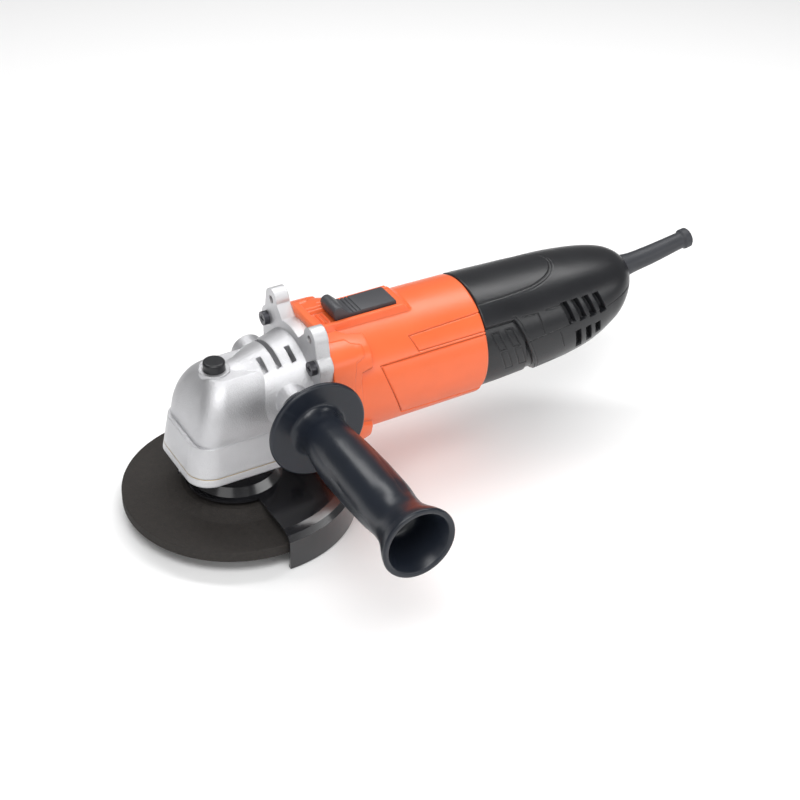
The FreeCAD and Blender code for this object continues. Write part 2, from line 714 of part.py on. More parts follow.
# ---- motor ----
def make_armature():
    pinion_deg = math.degrees(math.atan2(teeth_pinion, teeth_crown))
    pitch_x = gear_module * teeth_crown / 2
    bore = shaft_pinion_r + seat
    inner_x = pitch_x * (1 - face_share)
    tail = [(pitch_x + 1.6, 5.6), (front_bearing_x - gap, 5.6), (front_bearing_x - gap, bore), (inner_x, bore)]
    pinion = cut_gaps(gear_blank(teeth_pinion, pinion_deg, profile_shift, tail),
                      teeth_pinion, pinion_deg, profile_shift, 0.5)
    pinion.rotate(V(0, 0, 0), X, 180)
    nut_x0 = inner_x - 0.6 - pinion_nut_thick
    corners = [
        V(nut_x0, 0, 0) + V(0, math.cos(a), math.sin(a)) * (pinion_nut_w / math.sqrt(3))
        for a in (math.radians(60 * i) for i in range(7))
    ]
    nut = Part.Face(Part.makePolygon(corners)).extrude(X * pinion_nut_thick)
    nut = nut.cut(cyl_x(shaft_thread_r + seat, 0, 30))
    shaft = fused([
        cyl_x(shaft_thread_r, nut_x0, inner_x),
        cyl_x(shaft_pinion_r, inner_x - 0.6, front_bearing_x),
        cyl_x(shaft_bearing_r, front_bearing_x - gap, fan_x - 1),
        cyl_x(shaft_r, fan_x - 1, comm_x + comm_len),
        cyl_x(shaft_rear_r, comm_x + comm_len - 1, rear_bearing_x + rear_bearing_w),
    ])
    core = tube_x(armature_r, shaft_r + seat, stack_x, stack_x1)
    lane = cyl_x(slot_r, stack_x - 1, stack_x1 + 1, 0, armature_r - slot_r - 0.6)
    mouth = box(stack_x - 1, stack_x1 + 1, -0.7, 0.7, armature_r - slot_r - 0.6, armature_r + 1)
    core = core.cut(around(lane.fuse(mouth), armature_slots, X))
    wires = around(cyl_x(slot_r - 0.1, stack_x - 1, stack_x1 + 1, 0, armature_r - slot_r - 0.6), armature_slots, X)
    front_turns = turned_x([(stack_x - 7, 8.0), (stack_x - 6, 13.0), (stack_x - 2.5, 15.6),
                            (stack_x - 0.2, 15.6), (stack_x - 0.2, 8.0)])
    rear_turns = turned_x([(stack_x1 + 0.2, 8.0), (stack_x1 + 0.2, 15.6), (stack_x1 + 3, 15.6),
                           (stack_x1 + 8, 11.5), (stack_x1 + 9, 8.0)])
    windings = fused([front_turns, rear_turns] + wires)
    comm = tube_x(comm_r, shaft_r + seat, comm_x, comm_x + comm_len)
    riser = tube_x(comm_r + 1.2, shaft_r + seat, comm_x, comm_x + 1.8)
    groove = box(comm_x - 1, comm_x + comm_len + 1, -0.3, 0.3, comm_r - 0.9, comm_r + 2)
    comm = comm.fuse(riser).removeSplitter().cut(around(groove, comm_bars, X))
    return {
        "pinion": biggest(pinion), "pinion_nut": nut, "armature_shaft": shaft,
        "armature_core": core, "armature_windings": windings, "commutator": comm,
    }


def make_fan():
    hub = tube_x(fan_hub_r, shaft_r + seat, fan_x, fan_x + fan_len)
    plate = tube_x(fan_r, fan_hub_r - 1, fan_x + fan_len - 1.6, fan_x + fan_len)
    blade = box(fan_x + 1.5, fan_x + fan_len - 1, -0.6, 0.6, fan_r * 0.55, fan_r - 0.4)
    blade.rotate(V(0, 0, fan_r * 0.8), X, 24)
    return {"cooling_fan": fused([hub, plate] + around(blade, fan_blades, X))}


def make_stator():
    ring = tube_x(stator_r, stator_yoke_r, stack_x, stack_x1)
    poles = cyl_x(stator_yoke_r + 0.5, stack_x, stack_x1).common(
        box(stack_x, stack_x1, -pole_half_w, pole_half_w, -40, 40))
    bore = cyl_x(bore_r, stack_x - 1, stack_x1 + 1)
    core = fused([ring, poles]).cut(bore)
    room = tube_x(stator_yoke_r - gap, bore_r + 1.0, stack_x - 20, stack_x1 + 20)
    coils = []
    for side in (1, -1):
        z0, z1 = (7.0, 40.0) if side > 0 else (-40.0, -7.0)
        w = pole_half_w + gap
        loop = box(stack_x - coil_over, stack_x1 + coil_over, -w - coil_wide, w + coil_wide, z0, z1)
        hole = box(stack_x - gap, stack_x1 + gap, -w, w, -50, 50)
        coils.append(biggest(loop.common(room).cut(hole)))
    return {"stator_core": biggest(core), "field_coils": Part.makeCompound(coils)}


def make_motor_bearings():
    rear_end = rear_bearing_x + rear_bearing_w
    return {
        "front_bearing": bearing_ring(front_bearing_r, shaft_bearing_r + run, front_bearing_w,
                                      V(front_bearing_x, 0, 0), X),
        "rear_bearing": bearing_ring(rear_bearing_r, shaft_rear_r + run, rear_bearing_w,
                                     V(rear_bearing_x, 0, 0), X),
        "rear_bearing_cup": tube_x(rear_bearing_r + cup_wall, rear_bearing_r, rear_bearing_x, rear_end),
        "air_baffle": tube_x(body_in_r - seat, fan_r + 1.2, fan_x - 2, fan_x + fan_len + 1),
    }


def make_brushes():
    y0 = comm_r + 0.2
    brush = box(brush_x - brush_w / 2, brush_x + brush_w / 2, y0, y0 + brush_len, -brush_h / 2, brush_h / 2)
    w = holder_wall
    half_tall = brush_h / 2 + w
    y1 = math.sqrt(body_in_r ** 2 - half_tall ** 2) - seat
    outer = box(brush_x - brush_w / 2 - w, brush_x + brush_w / 2 + w, y0 + 1.6, y1,
                -half_tall, half_tall)
    inner = box(brush_x - brush_w / 2 - run, brush_x + brush_w / 2 + run, y0 + 1, y1 - 1.0,
                -brush_h / 2 - run, brush_h / 2 + run)
    spring = coil(2.2, 0.4, V(brush_x, y0 + brush_len, 0), Y, y1 - 1.0 - y0 - brush_len, 4)
    return {
        "carbon_brushes": Part.makeCompound(both_sides(brush)),
        "brush_holders": Part.makeCompound(both_sides(outer.cut(inner))),
        "brush_springs": Part.makeCompound(both_sides(spring)),
    }


def rod_lane(x0, x1):
    """Way for the switch rod through a wall."""
    return box(x0, x1, -rod_half_w - loose, rod_half_w + loose, rod_z - loose, rod_top_z + loose)


def make_motor_housing():
    outer = cone_x(body_r_front, body_r_rear, body_x0, body_x1)
    corners = []
    for y, z in flange_screws_at:
        corners += both_sides(cyl_x(boss_r, body_x0, body_x0 + boss_len, y, z))
        corners += both_sides(cone_x(boss_r, 1.5, body_x0 + boss_len, body_x0 + boss_len + 9, y, z))
        low, high = sorted((0.0, z))
        corners += both_sides(box(body_x0, body_x0 + boss_len, 0, y, low, high))
    pad = box(body_x0 + 4, slider_x1 + 6, -pad_half_w, pad_half_w, 20, pad_top_z)
    rails = box(body_x0 + 4, slider_x1 + 6, -pad_half_w, pad_half_w, 20, pad_top_z + 1.6).cut(
        box(body_x0, slider_x1 + 3, -slider_half_w - run * 5, slider_half_w + run * 5, pad_top_z, 50))
    hump = box(body_x0, body_x0 + hump_len, -pad_half_w - 2, pad_half_w + 2, 20, hump_top_z)
    shell = fused([outer, pad, rails, hump] + corners)
    inner = cyl_x(body_in_r, body_x0 - 1, rear_bearing_x + 1)
    mouth = cyl_x(spigot_r + seat, rear_bearing_x, body_x1 + 1)
    shell = shell.cut([inner, mouth])
    rib = box(stack_x - 2, stack_x1 + 6, -2, 2, stator_r + seat, body_in_r + 1)
    web_x1 = body_x1 - spigot_len - gap
    web = box(rear_bearing_x - 2, web_x1, -4, 4, rear_bearing_r + cup_wall, body_in_r + 0.5)
    cup = tube_x(rear_bearing_r + cup_wall + 2.4, rear_bearing_r + cup_wall, rear_bearing_x - 2, body_x1)
    back = tube_x(rear_bearing_r + cup_wall + 1, shaft_rear_r + 1.5,
                  rear_bearing_x + rear_bearing_w, rear_bearing_x + rear_bearing_w + 1.0)
    shelf = box(brush_x - 6, rear_bearing_x, 0, 4, -brush_h / 2 - holder_wall - 2.5, -brush_h / 2 - holder_wall)
    shelf.translate(Y * 24)
    shell = shell.fuse(around(rib, 4, X, first_deg=45) + around(web, 4, X, first_deg=45)
                       + [cup, back] + both_sides(shelf))
    slot_x1 = slider_x1 - 13.0
    lane = box(slot_x1 - slider_foot_len - slider_travel - loose, slot_x1 + loose,
               -slider_foot_half_w - loose, slider_foot_half_w + loose, 20, pad_top_z + 1)
    stop_r = body_in_r - 0.6
    drills = flange_screw_holes(flange_screw_r + seat, body_x0 - 1, flange_x + flange_screw_len + 1)
    shell = shell.cut([lane.cut(cyl_x(stop_r, 0, 200))] + drills)
    lane = rod_lane(rear_bearing_x - 4, body_x1 + 1)
    return {"motor_housing": biggest(shell.cut(lane).removeSplitter())}


# ---- switch ----
def make_switch():
    foot_x1 = slider_x1 - 13.0
    foot_x0 = foot_x1 - slider_foot_len
    plate = box(slider_x0 + 2, slider_x1, -slider_half_w, slider_half_w, pad_top_z + 0.05, pad_top_z + slider_thick)
    hump = cyl_y(slider_hump_len / 2, -slider_half_w, slider_half_w, slider_x0 + slider_hump_len / 2,
                 pad_top_z + slider_thick + slider_hump - slider_hump_len / 2)
    stem = box(slider_x0 + 0.8, slider_x0 + slider_hump_len + 1.5, -slider_half_w, slider_half_w,
               pad_top_z + 0.05, pad_top_z + slider_thick + slider_hump - slider_hump_len / 2)
    foot = box(foot_x0, foot_x1, -slider_foot_half_w, slider_foot_half_w, rod_top_z, pad_top_z + 1)
    grooves = [box(x, x + 1.0, -slider_half_w + 1.2, slider_half_w - 1.2, pad_top_z + slider_thick - 0.7, 60)
               for x in (slider_x0 + 11, slider_x0 + 13.2, slider_x0 + 15.4)]
    slider = fused([plate, stem, hump, foot]).cut(grooves)
    rod = box(foot_x0 - 1, rod_end_x, -rod_half_w, rod_half_w, rod_z, rod_top_z)
    claw = box(rod_end_x - 5, rod_end_x, -rod_half_w, rod_half_w, rod_z - 9, rod_z + 0.5)
    body = box(rod_end_x + 5, rod_end_x + 5 + switch_len, -switch_half_w, switch_half_w,
               rod_z - 7 - switch_tall, rod_z - 7)
    lever = box(rod_end_x + gap, rod_end_x + 5.5, -2, 2, rod_z - 16, rod_z - 9)
    tabs = [box(rod_end_x + 5 + switch_len - 1, rod_end_x + 5 + switch_len + 6, y - 0.4, y + 0.4,
                rod_z - 24, rod_z - 18) for y in (-5.0, 5.0)]
    return {
        "switch_slider": slider,
        "switch_rod": fused([rod, claw]),
        "switch_body": fused([body, lever] + tabs),
    }


# ---- rear handle ----
def handle_solid(shrink):
    """Rear handle's outer form, with its skin moved in by shrink."""
    points_round = 16
    wires = []
    for back, top, bottom, half_w in handle_shape:
        x = body_x1 + back
        mid, tall, wide = (top - bottom) / 2, (top + bottom) / 2 - shrink, half_w - shrink
        ring = []
        for i in range(points_round):
            a = 2 * math.pi * i / points_round
            ring.append(V(x, wide * math.cos(a), mid + tall * math.sin(a)))
        curve = Part.BSplineCurve()
        curve.interpolate(Points=ring, PeriodicFlag=True)
        wires.append(Part.Wire([curve.toShape()]))
    return lofted(wires)


def split_tool(above):
    """Half space above or below the rising parting plane."""
    x0, x1, far = body_x1 - 20, handle_end_x + 80, 90.0
    z0 = split_z0 + split_slope * (x0 - body_x1)
    z1 = split_z0 + split_slope * (x1 - body_x1)
    edge = far if above else -far
    points = [V(x0, -far, z0), V(x1, -far, z1), V(x1, -far, edge), V(x0, -far, edge)]
    return Part.Face(Part.makePolygon(points + points[:1])).extrude(Y * 2 * far)


def vent_cut(x0, deg0, x1, deg1, reach=40.0):
    """Slot cut inwards through one side of the handle, from one angle to another."""
    y0, z0 = reach * math.cos(math.radians(deg0)), reach * math.sin(math.radians(deg0))
    y1, z1 = reach * math.cos(math.radians(deg1)), reach * math.sin(math.radians(deg1))
    w = vent_wide / 2
    near, far = 0.62, 1.05
    outer = [V(x0 - w, -y0, z0), V(x0 + w, -y0, z0), V(x1 + w, -y1, z1), V(x1 - w, -y1, z1)]
    wires = []
    for share in (near, far):
        points = [V(p.x, p.y * share, p.z * share) for p in outer]
        wires.append(Part.makePolygon(points + points[:1]))
    return lofted(wires, True)


def make_handle():
    skin = handle_solid(0.0)
    room = handle_solid(handle_wall).common(box(0, handle_end_x - 4.0, -60, 60, -60, 60))
    shell = skin.cut(room)
    spigot = tube_x(spigot_r, spigot_r - 2.0, body_x1 - spigot_len, body_x1 + 2.0)
    front = tube_x(body_r_rear - 0.4, spigot_r - 2.0, body_x1 + gap, body_x1 + 2.0)
    posts = []
    for x, y in handle_screws_at:
        z_split = split_z0 + split_slope * x
        x += body_x1
        posts += both_sides(cyl_z(4.6, z_split - 18.0, z_split + 12.0, x, y))
    posts = [p.common(skin) for p in posts]
    neck_start = V(cord_guard_x, 0, cord_guard_z)
    neck = cyl(cord_guard_collar_r + 3.0, neck_start - cord_dir * 1.0, cord_dir, 14.0).common(skin)
    clamp_post = box(clamp_x - clamp_half_len, clamp_x + clamp_half_len, -clamp_half_w, clamp_half_w,
                     -40, clamp_base_z - gap).common(skin)
    shell = fused([shell, spigot, front, clamp_post] + posts + [neck])
    sleeve_room = cyl(cord_guard_r0 + seat, neck_start - cord_dir * 3, cord_dir, 60)
    collar_room = cyl(cord_guard_collar_r + seat, neck_start, cord_dir, 3.0)
    vents = []
    for x0, x1 in upper_vents:
        vents += both_sides(vent_cut(body_x1 + x0, upper_vent_deg[0], body_x1 + x1, upper_vent_deg[1]))
    for x0, x1, deg in lower_vents:
        vents += both_sides(vent_cut(body_x1 + x0, lower_vent_top_deg, body_x1 + x1, deg))
    shell = shell.cut([sleeve_room, collar_room] + vents)
    drills = [cyl_z(clamp_screw_r + seat, clamp_base_z - clamp_screw_deep, clamp_base_z, clamp_x, y)
              for y in (-clamp_screw_y, clamp_screw_y)]
    screws = []
    for x, y in handle_screws_at:
        z_split = split_z0 + split_slope * x
        x += body_x1
        head_z = z_split - 14.0
        drills += both_sides(cyl_z(handle_screw_r + seat, head_z - 1, z_split + 10.0, x, y))
        drills += both_sides(cyl_z(handle_screw_head_r + gap, -60, head_z, x, y))
        screw = cyl_z(handle_screw_head_r, head_z - 2.4, head_z, x, y)
        screw = screw.fuse(cyl_z(handle_screw_r, head_z - 1, z_split + 9.0, x, y)).removeSplitter()
        screws += both_sides(screw)
    shell = shell.cut(drills + [rod_lane(body_x1 - 5, rod_end_x + gap)])
    return {
        "handle_upper": biggest(shell.common(split_tool(True))),
        "handle_lower": biggest(shell.common(split_tool(False))),
        "handle_screws": Part.makeCompound(screws),
    }


def make_cord_guard():
    start = V(cord_guard_x, 0, cord_guard_z)
    n = cord_guard_len
    outline = [
        (0.0, cord_guard_bore_r), (0.0, cord_guard_collar_r), (3.0, cord_guard_collar_r),
        (3.0, cord_guard_r0), (15.0, cord_guard_r0), (n - 9.0, cord_guard_r1),
        (n - 5.0, cord_guard_r1 + 0.2), (n - 2.0, cord_guard_lip_r), (n, cord_guard_lip_r - 0.3),
        (n, cord_guard_bore_r),
    ]
    sleeve = turned([V(x, 0, r) for x, r in outline], V(0, 0, 0), X)
    sleeve.rotate(V(0, 0, 0), Y, -cord_guard_rise_deg)
    sleeve.translate(start)
    clamp = box(clamp_x - clamp_half_len, clamp_x + clamp_half_len, -clamp_half_w, clamp_half_w,
                clamp_base_z, clamp_top_z)
    groove = cyl_x(cord_guard_bore_r, clamp_x - 5, clamp_x + 5, 0, clamp_top_z + 1.1)
    holes, screws = [], []
    for y in (-clamp_screw_y, clamp_screw_y):
        holes.append(cyl_z(clamp_screw_r + seat, clamp_base_z - 1, clamp_top_z + 1, clamp_x, y))
        head = cyl_z(clamp_screw_r * 1.9, clamp_top_z, clamp_top_z + 2.2, clamp_x, y)
        shank = cyl_z(clamp_screw_r, clamp_base_z - clamp_screw_deep + gap, clamp_top_z + 1, clamp_x, y)
        screws.append(head.fuse(shank).removeSplitter())
    return {
        "cord_guard": biggest(sleeve),
        "cord_clamp": clamp.cut([groove] + holes),
        "cord_clamp_screws": Part.makeCompound(screws),
    }


# ---- side handle ----
def make_side_handle():
    end, face = side_end_y, side_disc_y
    back = face - side_disc_thick
    outline = [
        (side_boss_y, side_stud_r + seat), (side_boss_y, 8.6), (back - 3, 9.4), (back, 12.0),
        (back, side_disc_r - 1.0), (back + 1.0, side_disc_r), (face - 1.0, side_disc_r),
        (face, side_disc_r - 1.2), (face - 0.6, 14.0), (face + 4, 12.4), (face + 10, 12.6),
        (face + 22, side_grip_r), (face + 50, side_grip_r + 0.3), (end - 27, side_grip_r - 0.6),
        (end - 13, side_grip_r + 0.6), (end - 5, side_bell_r - 1.8), (end - 1.2, side_bell_r),
        (end, side_bell_r - 0.8), (end - 0.6, side_bell_r - 3.6), (end - 10, 11.5),
        (end - side_mouth_depth, 9.4), (end - side_mouth_depth, 0.0), (face + 16, 0.0),
        (face + 16, side_stud_r + seat),
    ]
    points = [V(r, -y, 0) for y, r in outline]
    grip = turned(points, V(0, 0, 0), Y)
    grip.translate(V(side_x, 0, side_z))
    stud = cyl_y(side_stud_r, -face - 15.5, -side_hole_floor - 0.5, side_x, side_z)
    return {"side_handle_grip": grip, "side_handle_stud": stud}


def main():
    os.makedirs("parts", exist_ok=True)
    makers = [
        make_gear_housing, make_bearing_cover, make_flange_screws, make_spindle_group,
        make_spindle_bearings, make_wheel_group, make_guard, make_lock_button, make_armature,
        make_fan, make_stator, make_motor_bearings, make_brushes, make_motor_housing, make_switch,
        make_handle, make_cord_guard, make_side_handle,
    ]
    for maker in makers:
        for name, shape in maker().items():
            shape.translate(Z * -nut_face_z)
            shape.exportStep(f"parts/{name}.step")
            box_ = shape.BoundBox
            print(f"{name}: {len(shape.Solids)} solid(s), valid {shape.isValid()}, volume {shape.Volume:.0f}, "
                  f"x {box_.XMin:.1f}..{box_.XMax:.1f} y {box_.YMin:.1f}..{box_.YMax:.1f} "
                  f"z {box_.ZMin:.1f}..{box_.ZMax:.1f}")


main()
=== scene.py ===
"""Looks of the angle grinder: moulded casings, handles, wheel and metal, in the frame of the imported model."""
import bmesh
import bpy
import json
import math
import numpy as np
from mathutils import Matrix, Vector


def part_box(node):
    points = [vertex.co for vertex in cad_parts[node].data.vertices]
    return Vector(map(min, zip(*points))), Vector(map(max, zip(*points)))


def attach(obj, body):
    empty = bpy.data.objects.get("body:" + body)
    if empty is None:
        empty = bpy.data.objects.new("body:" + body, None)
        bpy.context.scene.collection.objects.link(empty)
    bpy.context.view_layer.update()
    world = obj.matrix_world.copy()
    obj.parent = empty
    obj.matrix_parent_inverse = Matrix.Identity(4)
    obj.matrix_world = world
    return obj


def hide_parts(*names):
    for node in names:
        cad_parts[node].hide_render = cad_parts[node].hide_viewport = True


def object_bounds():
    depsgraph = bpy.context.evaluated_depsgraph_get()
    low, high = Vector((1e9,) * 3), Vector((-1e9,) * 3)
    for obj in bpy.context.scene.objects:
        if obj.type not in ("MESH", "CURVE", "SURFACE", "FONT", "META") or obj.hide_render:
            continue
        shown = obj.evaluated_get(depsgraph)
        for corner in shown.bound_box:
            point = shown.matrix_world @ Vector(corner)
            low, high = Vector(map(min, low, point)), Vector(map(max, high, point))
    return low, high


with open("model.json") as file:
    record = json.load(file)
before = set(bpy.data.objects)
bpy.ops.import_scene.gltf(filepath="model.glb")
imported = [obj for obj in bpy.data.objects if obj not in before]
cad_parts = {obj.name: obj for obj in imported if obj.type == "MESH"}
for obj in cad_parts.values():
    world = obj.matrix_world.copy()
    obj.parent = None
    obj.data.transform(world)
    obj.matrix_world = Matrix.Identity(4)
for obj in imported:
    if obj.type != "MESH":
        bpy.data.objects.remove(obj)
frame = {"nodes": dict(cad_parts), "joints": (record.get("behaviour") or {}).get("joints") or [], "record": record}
cad_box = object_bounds()

# The casings are drawn in millimetres about the motor axis: x from the spindle axis, angles from -Y up to +Z.
axis_z = next(j for j in frame["joints"] if j["name"] == "armature_spin")["pos_m"][2] * 1000


def node_mm(name):
    """Lowest and highest corner of a CAD node, in the casings' millimetres."""
    low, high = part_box(name)
    lift = Vector((0, 0, axis_z))
    return low * 1000 - lift, high * 1000 - lift


body_low, body_high = node_mm("motor_housing")
grip_low, grip_high = node_mm("handle_upper")
body_x0, seam_x = body_low.x, body_high.x
slider_low, slider_high = node_mm("switch_slider")


# ---- shape helpers ----
def smooth(edge0, edge1, value):
    t = np.clip((value - edge0) / (edge1 - edge0), 0, 1)
    return t * t * (3 - 2 * t)


def outline_distance(points, u, v):
    """Signed distance from each (u, v) to a closed outline: negative inside."""
    best = np.full(u.shape, 1e9)
    inside = np.zeros(u.shape, bool)
    for (x0, y0), (x1, y1) in zip(points, points[1:] + points[:1]):
        ex, ey = x1 - x0, y1 - y0
        t = np.clip(((u - x0) * ex + (v - y0) * ey) / (ex * ex + ey * ey), 0, 1)
        best = np.minimum(best, np.hypot(u - x0 - t * ex, v - y0 - t * ey))
        crosses = (y0 > v) != (y1 > v)
        slope = ex / ey if ey else 0.0
        inside ^= crosses & (u < x0 + slope * (v - y0))
    return np.where(inside, -best, best)


def line_distance(points, u, v):
    """Distance from each (u, v) to an open run of points."""
    best = np.full(u.shape, 1e9)
    for (x0, y0), (x1, y1) in zip(points, points[1:]):
        ex, ey = x1 - x0, y1 - y0
        t = np.clip(((u - x0) * ex + (v - y0) * ey) / (ex * ex + ey * ey), 0, 1)
        best = np.minimum(best, np.hypot(u - x0 - t * ex, v - y0 - t * ey))
    return best


def groove(distance, width, depth):
    return -depth * (1 - smooth(width * 0.25, width * 0.6, distance))


def step(distance, height, soft=0.35):
    """Raised (or, with a negative height, sunk) where the distance is negative."""
    return height * (1 - smooth(-soft, soft, distance))


def unroll(points, radius):
    """Outline given as (x, degrees) turned into (x, millimetres round the casing)."""
    return [(x, math.radians(a) * radius) for x, a in points]


def mesh_object(name, verts_mm, faces, body, material, replaces=()):
    mesh = bpy.data.meshes.new(name)
    verts = np.asarray(verts_mm, float)
    verts = (verts + np.array([0, 0, axis_z])) / 1000
    mesh.from_pydata(verts.tolist(), [], faces)
    mesh.update()
    mesh.polygons.foreach_set("use_smooth", [True] * len(mesh.polygons))
    mesh.materials.append(material)
    piece = bpy.data.objects.new(name, mesh)
    bpy.context.scene.collection.objects.link(piece)
    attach(piece, body)
    if replaces:
        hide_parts(*replaces)
    return piece


def grid_faces(rows, around, closed_rows=True):
    """Quads of a grid whose rows go round, and whose last row joins the first where it is a closed tube."""
    faces = []
    last = rows if closed_rows else rows - 1
    for i in range(last):
        a, b = i * around, ((i + 1) % rows) * around
        for j in range(around):
            k = (j + 1) % around
            faces.append((a + j, a + k, b + k, b + j))
    return faces


def turned_object(name, outline, body, material, axis, start, replaces=(), segments=160, bend=None):
    """Solid turned about an axis from a closed outline of (along, radius), in casings' millimetres."""
    axis = Vector(axis).normalized()
    side = Vector((0, 0, 1)) if abs(axis.z) < 0.9 else Vector((1, 0, 0))
    side = (side - axis * side.dot(axis)).normalized()
    other = axis.cross(side)
    verts = []
    for along, radius in outline:
        for j in range(segments):
            a = 2 * math.pi * j / segments
            r = radius if bend is None else bend(along, radius, a)
            verts.append(Vector(start) + axis * along + (side * math.cos(a) + other * math.sin(a)) * r)
    return mesh_object(name, [tuple(v) for v in verts], grid_faces(len(outline), segments), body, material, replaces)


def rounded(points, radius=0.8, steps=5):
    """Closed outline with its corners rounded, as far as each side allows."""
    out = []
    n = len(points)
    for i in range(n):
        p, q, r = Vector(points[i - 1]), Vector(points[i]), Vector(points[(i + 1) % n])
        a, b = p - q, r - q
        cut = min(radius, a.length * 0.45, b.length * 0.45)
        if cut < 1e-4:
            out.append(tuple(q))
            continue
        s, e = q + a.normalized() * cut, q + b.normalized() * cut
        for k in range(steps + 1):
            t = k / steps
            out.append(tuple(s * (1 - t) ** 2 + q * 2 * t * (1 - t) + e * t * t))
    return out


# ---- materials ----
def material(name, color, metallic=0.0, roughness=0.45, spread=0.06, grain=900.0, grain_depth=0.08,
             rough_spread=0.10, coat=0.0, mottle=60.0, bevel=0.0, wear=0.0, wear_color=(0.5, 0.5, 0.5), hollow_shade=0.0, shine=0.5):
    """Moulded, painted or cast surface: soft colour variation, fine grain, uneven gloss, worn edges and painted shade
    darkening the hollows.
    """
    m = bpy.data.materials.new(name)
    m.use_nodes = True
    nodes, links = m.node_tree.nodes, m.node_tree.links
    shader = nodes["Principled BSDF"]
    shader.inputs["Metallic"].default_value = metallic
    shader.inputs["Coat Weight"].default_value = coat
    shader.inputs["Specular IOR Level"].default_value = shine
    shader.inputs["Coat Roughness"].default_value = 0.25
    place = nodes.new("ShaderNodeTexCoord")
    cloud = nodes.new("ShaderNodeTexNoise")
    cloud.inputs["Scale"].default_value = mottle
    cloud.inputs["Detail"].default_value = 5
    links.new(place.outputs["Object"], cloud.inputs["Vector"])
    ramp = nodes.new("ShaderNodeValToRGB")
    ramp.color_ramp.elements[0].position = 0.3
    ramp.color_ramp.elements[1].position = 0.7
    ramp.color_ramp.elements[0].color = [c * (1 - spread) for c in color] + [1]
    ramp.color_ramp.elements[1].color = [min(1, c * (1 + spread)) for c in color] + [1]
    links.new(cloud.outputs["Fac"], ramp.inputs["Fac"])
    color_out = ramp.outputs["Color"]
    if wear:
        geometry = nodes.new("ShaderNodeNewGeometry")
        edge = nodes.new("ShaderNodeMapRange")
        edge.inputs["From Min"].default_value = 0.54
        edge.inputs["From Max"].default_value = 0.66
        edge.inputs["To Max"].default_value = wear
        links.new(geometry.outputs["Pointiness"], edge.inputs["Value"])
        mix = nodes.new("ShaderNodeMix")
        mix.data_type = "RGBA"
        links.new(edge.outputs["Result"], mix.inputs["Factor"])
        links.new(color_out, mix.inputs["A"])
        mix.inputs["B"].default_value = list(wear_color) + [1]
        color_out = mix.outputs["Result"]
    # Painted shade: concave spots such as grooves and recesses are darkened towards a tenth of the colour, where shade
    # would fall.
    if hollow_shade:
        geometry = nodes.new("ShaderNodeNewGeometry")
        hollow_shade_mask = nodes.new("ShaderNodeMapRange")
        hollow_shade_mask.inputs["From Min"].default_value = 0.485
        hollow_shade_mask.inputs["From Max"].default_value = 0.40
        hollow_shade_mask.inputs["To Max"].default_value = hollow_shade
        links.new(geometry.outputs["Pointiness"], hollow_shade_mask.inputs["Value"])
        shade = nodes.new("ShaderNodeMix")
        shade.data_type = "RGBA"
        links.new(hollow_shade_mask.outputs["Result"], shade.inputs["Factor"])
        links.new(color_out, shade.inputs["A"])
        shade.inputs["B"].default_value = [c * 0.12 for c in color] + [1]
        color_out = shade.outputs["Result"]
    links.new(color_out, shader.inputs["Base Color"])
    fine = nodes.new("ShaderNodeTexNoise")
    fine.inputs["Scale"].default_value = grain
    fine.inputs["Detail"].default_value = 3
    links.new(place.outputs["Object"], fine.inputs["Vector"])
    gloss = nodes.new("ShaderNodeMapRange")
    gloss.inputs["To Min"].default_value = roughness - rough_spread
    gloss.inputs["To Max"].default_value = roughness + rough_spread
    links.new(cloud.outputs["Fac"], gloss.inputs["Value"])
    links.new(gloss.outputs["Result"], shader.inputs["Roughness"])
    bump = nodes.new("ShaderNodeBump")
    bump.inputs["Strength"].default_value = grain_depth
    bump.inputs["Distance"].default_value = 0.0003
    links.new(fine.outputs["Fac"], bump.inputs["Height"])
    if bevel:
        soft_edge = nodes.new("ShaderNodeBevel")
        soft_edge.inputs["Radius"].default_value = bevel
        links.new(soft_edge.outputs["Normal"], bump.inputs["Normal"])
    links.new(bump.outputs["Normal"], shader.inputs["Normal"])
    return m


def abrasive_material():
    """Resin-bonded grit: dark, rough, with pale and rusty grains."""
    m = material("abrasive", (0.030, 0.027, 0.025), roughness=0.78, spread=0.14, grain=1500, grain_depth=1.0,
                 mottle=420)
    nodes, links = m.node_tree.nodes, m.node_tree.links
    shader = nodes["Principled BSDF"]
    shader.inputs["Specular IOR Level"].default_value = 0.25
    place = next(n for n in nodes if n.type == "TEX_COORD")
    grains = nodes.new("ShaderNodeTexVoronoi")
    grains.inputs["Scale"].default_value = 1500
    links.new(place.outputs["Object"], grains.inputs["Vector"])
    pick = nodes.new("ShaderNodeValToRGB")
    pick.color_ramp.elements[0].position = 0.0
    pick.color_ramp.elements[0].color = (1, 1, 1, 1)
    pick.color_ramp.elements[1].position = 0.22
    pick.color_ramp.elements[1].color = (0, 0, 0, 1)
    links.new(grains.outputs["Distance"], pick.inputs["Fac"])
    mix = nodes.new("ShaderNodeMix")
    mix.data_type = "RGBA"
    base = shader.inputs["Base Color"].links[0].from_socket
    links.new(pick.outputs["Color"], mix.inputs["Factor"])
    links.new(base, mix.inputs["A"])
    mix.inputs["B"].default_value = (0.12, 0.085, 0.06, 1)
    links.new(mix.outputs["Result"], shader.inputs["Base Color"])
    return m
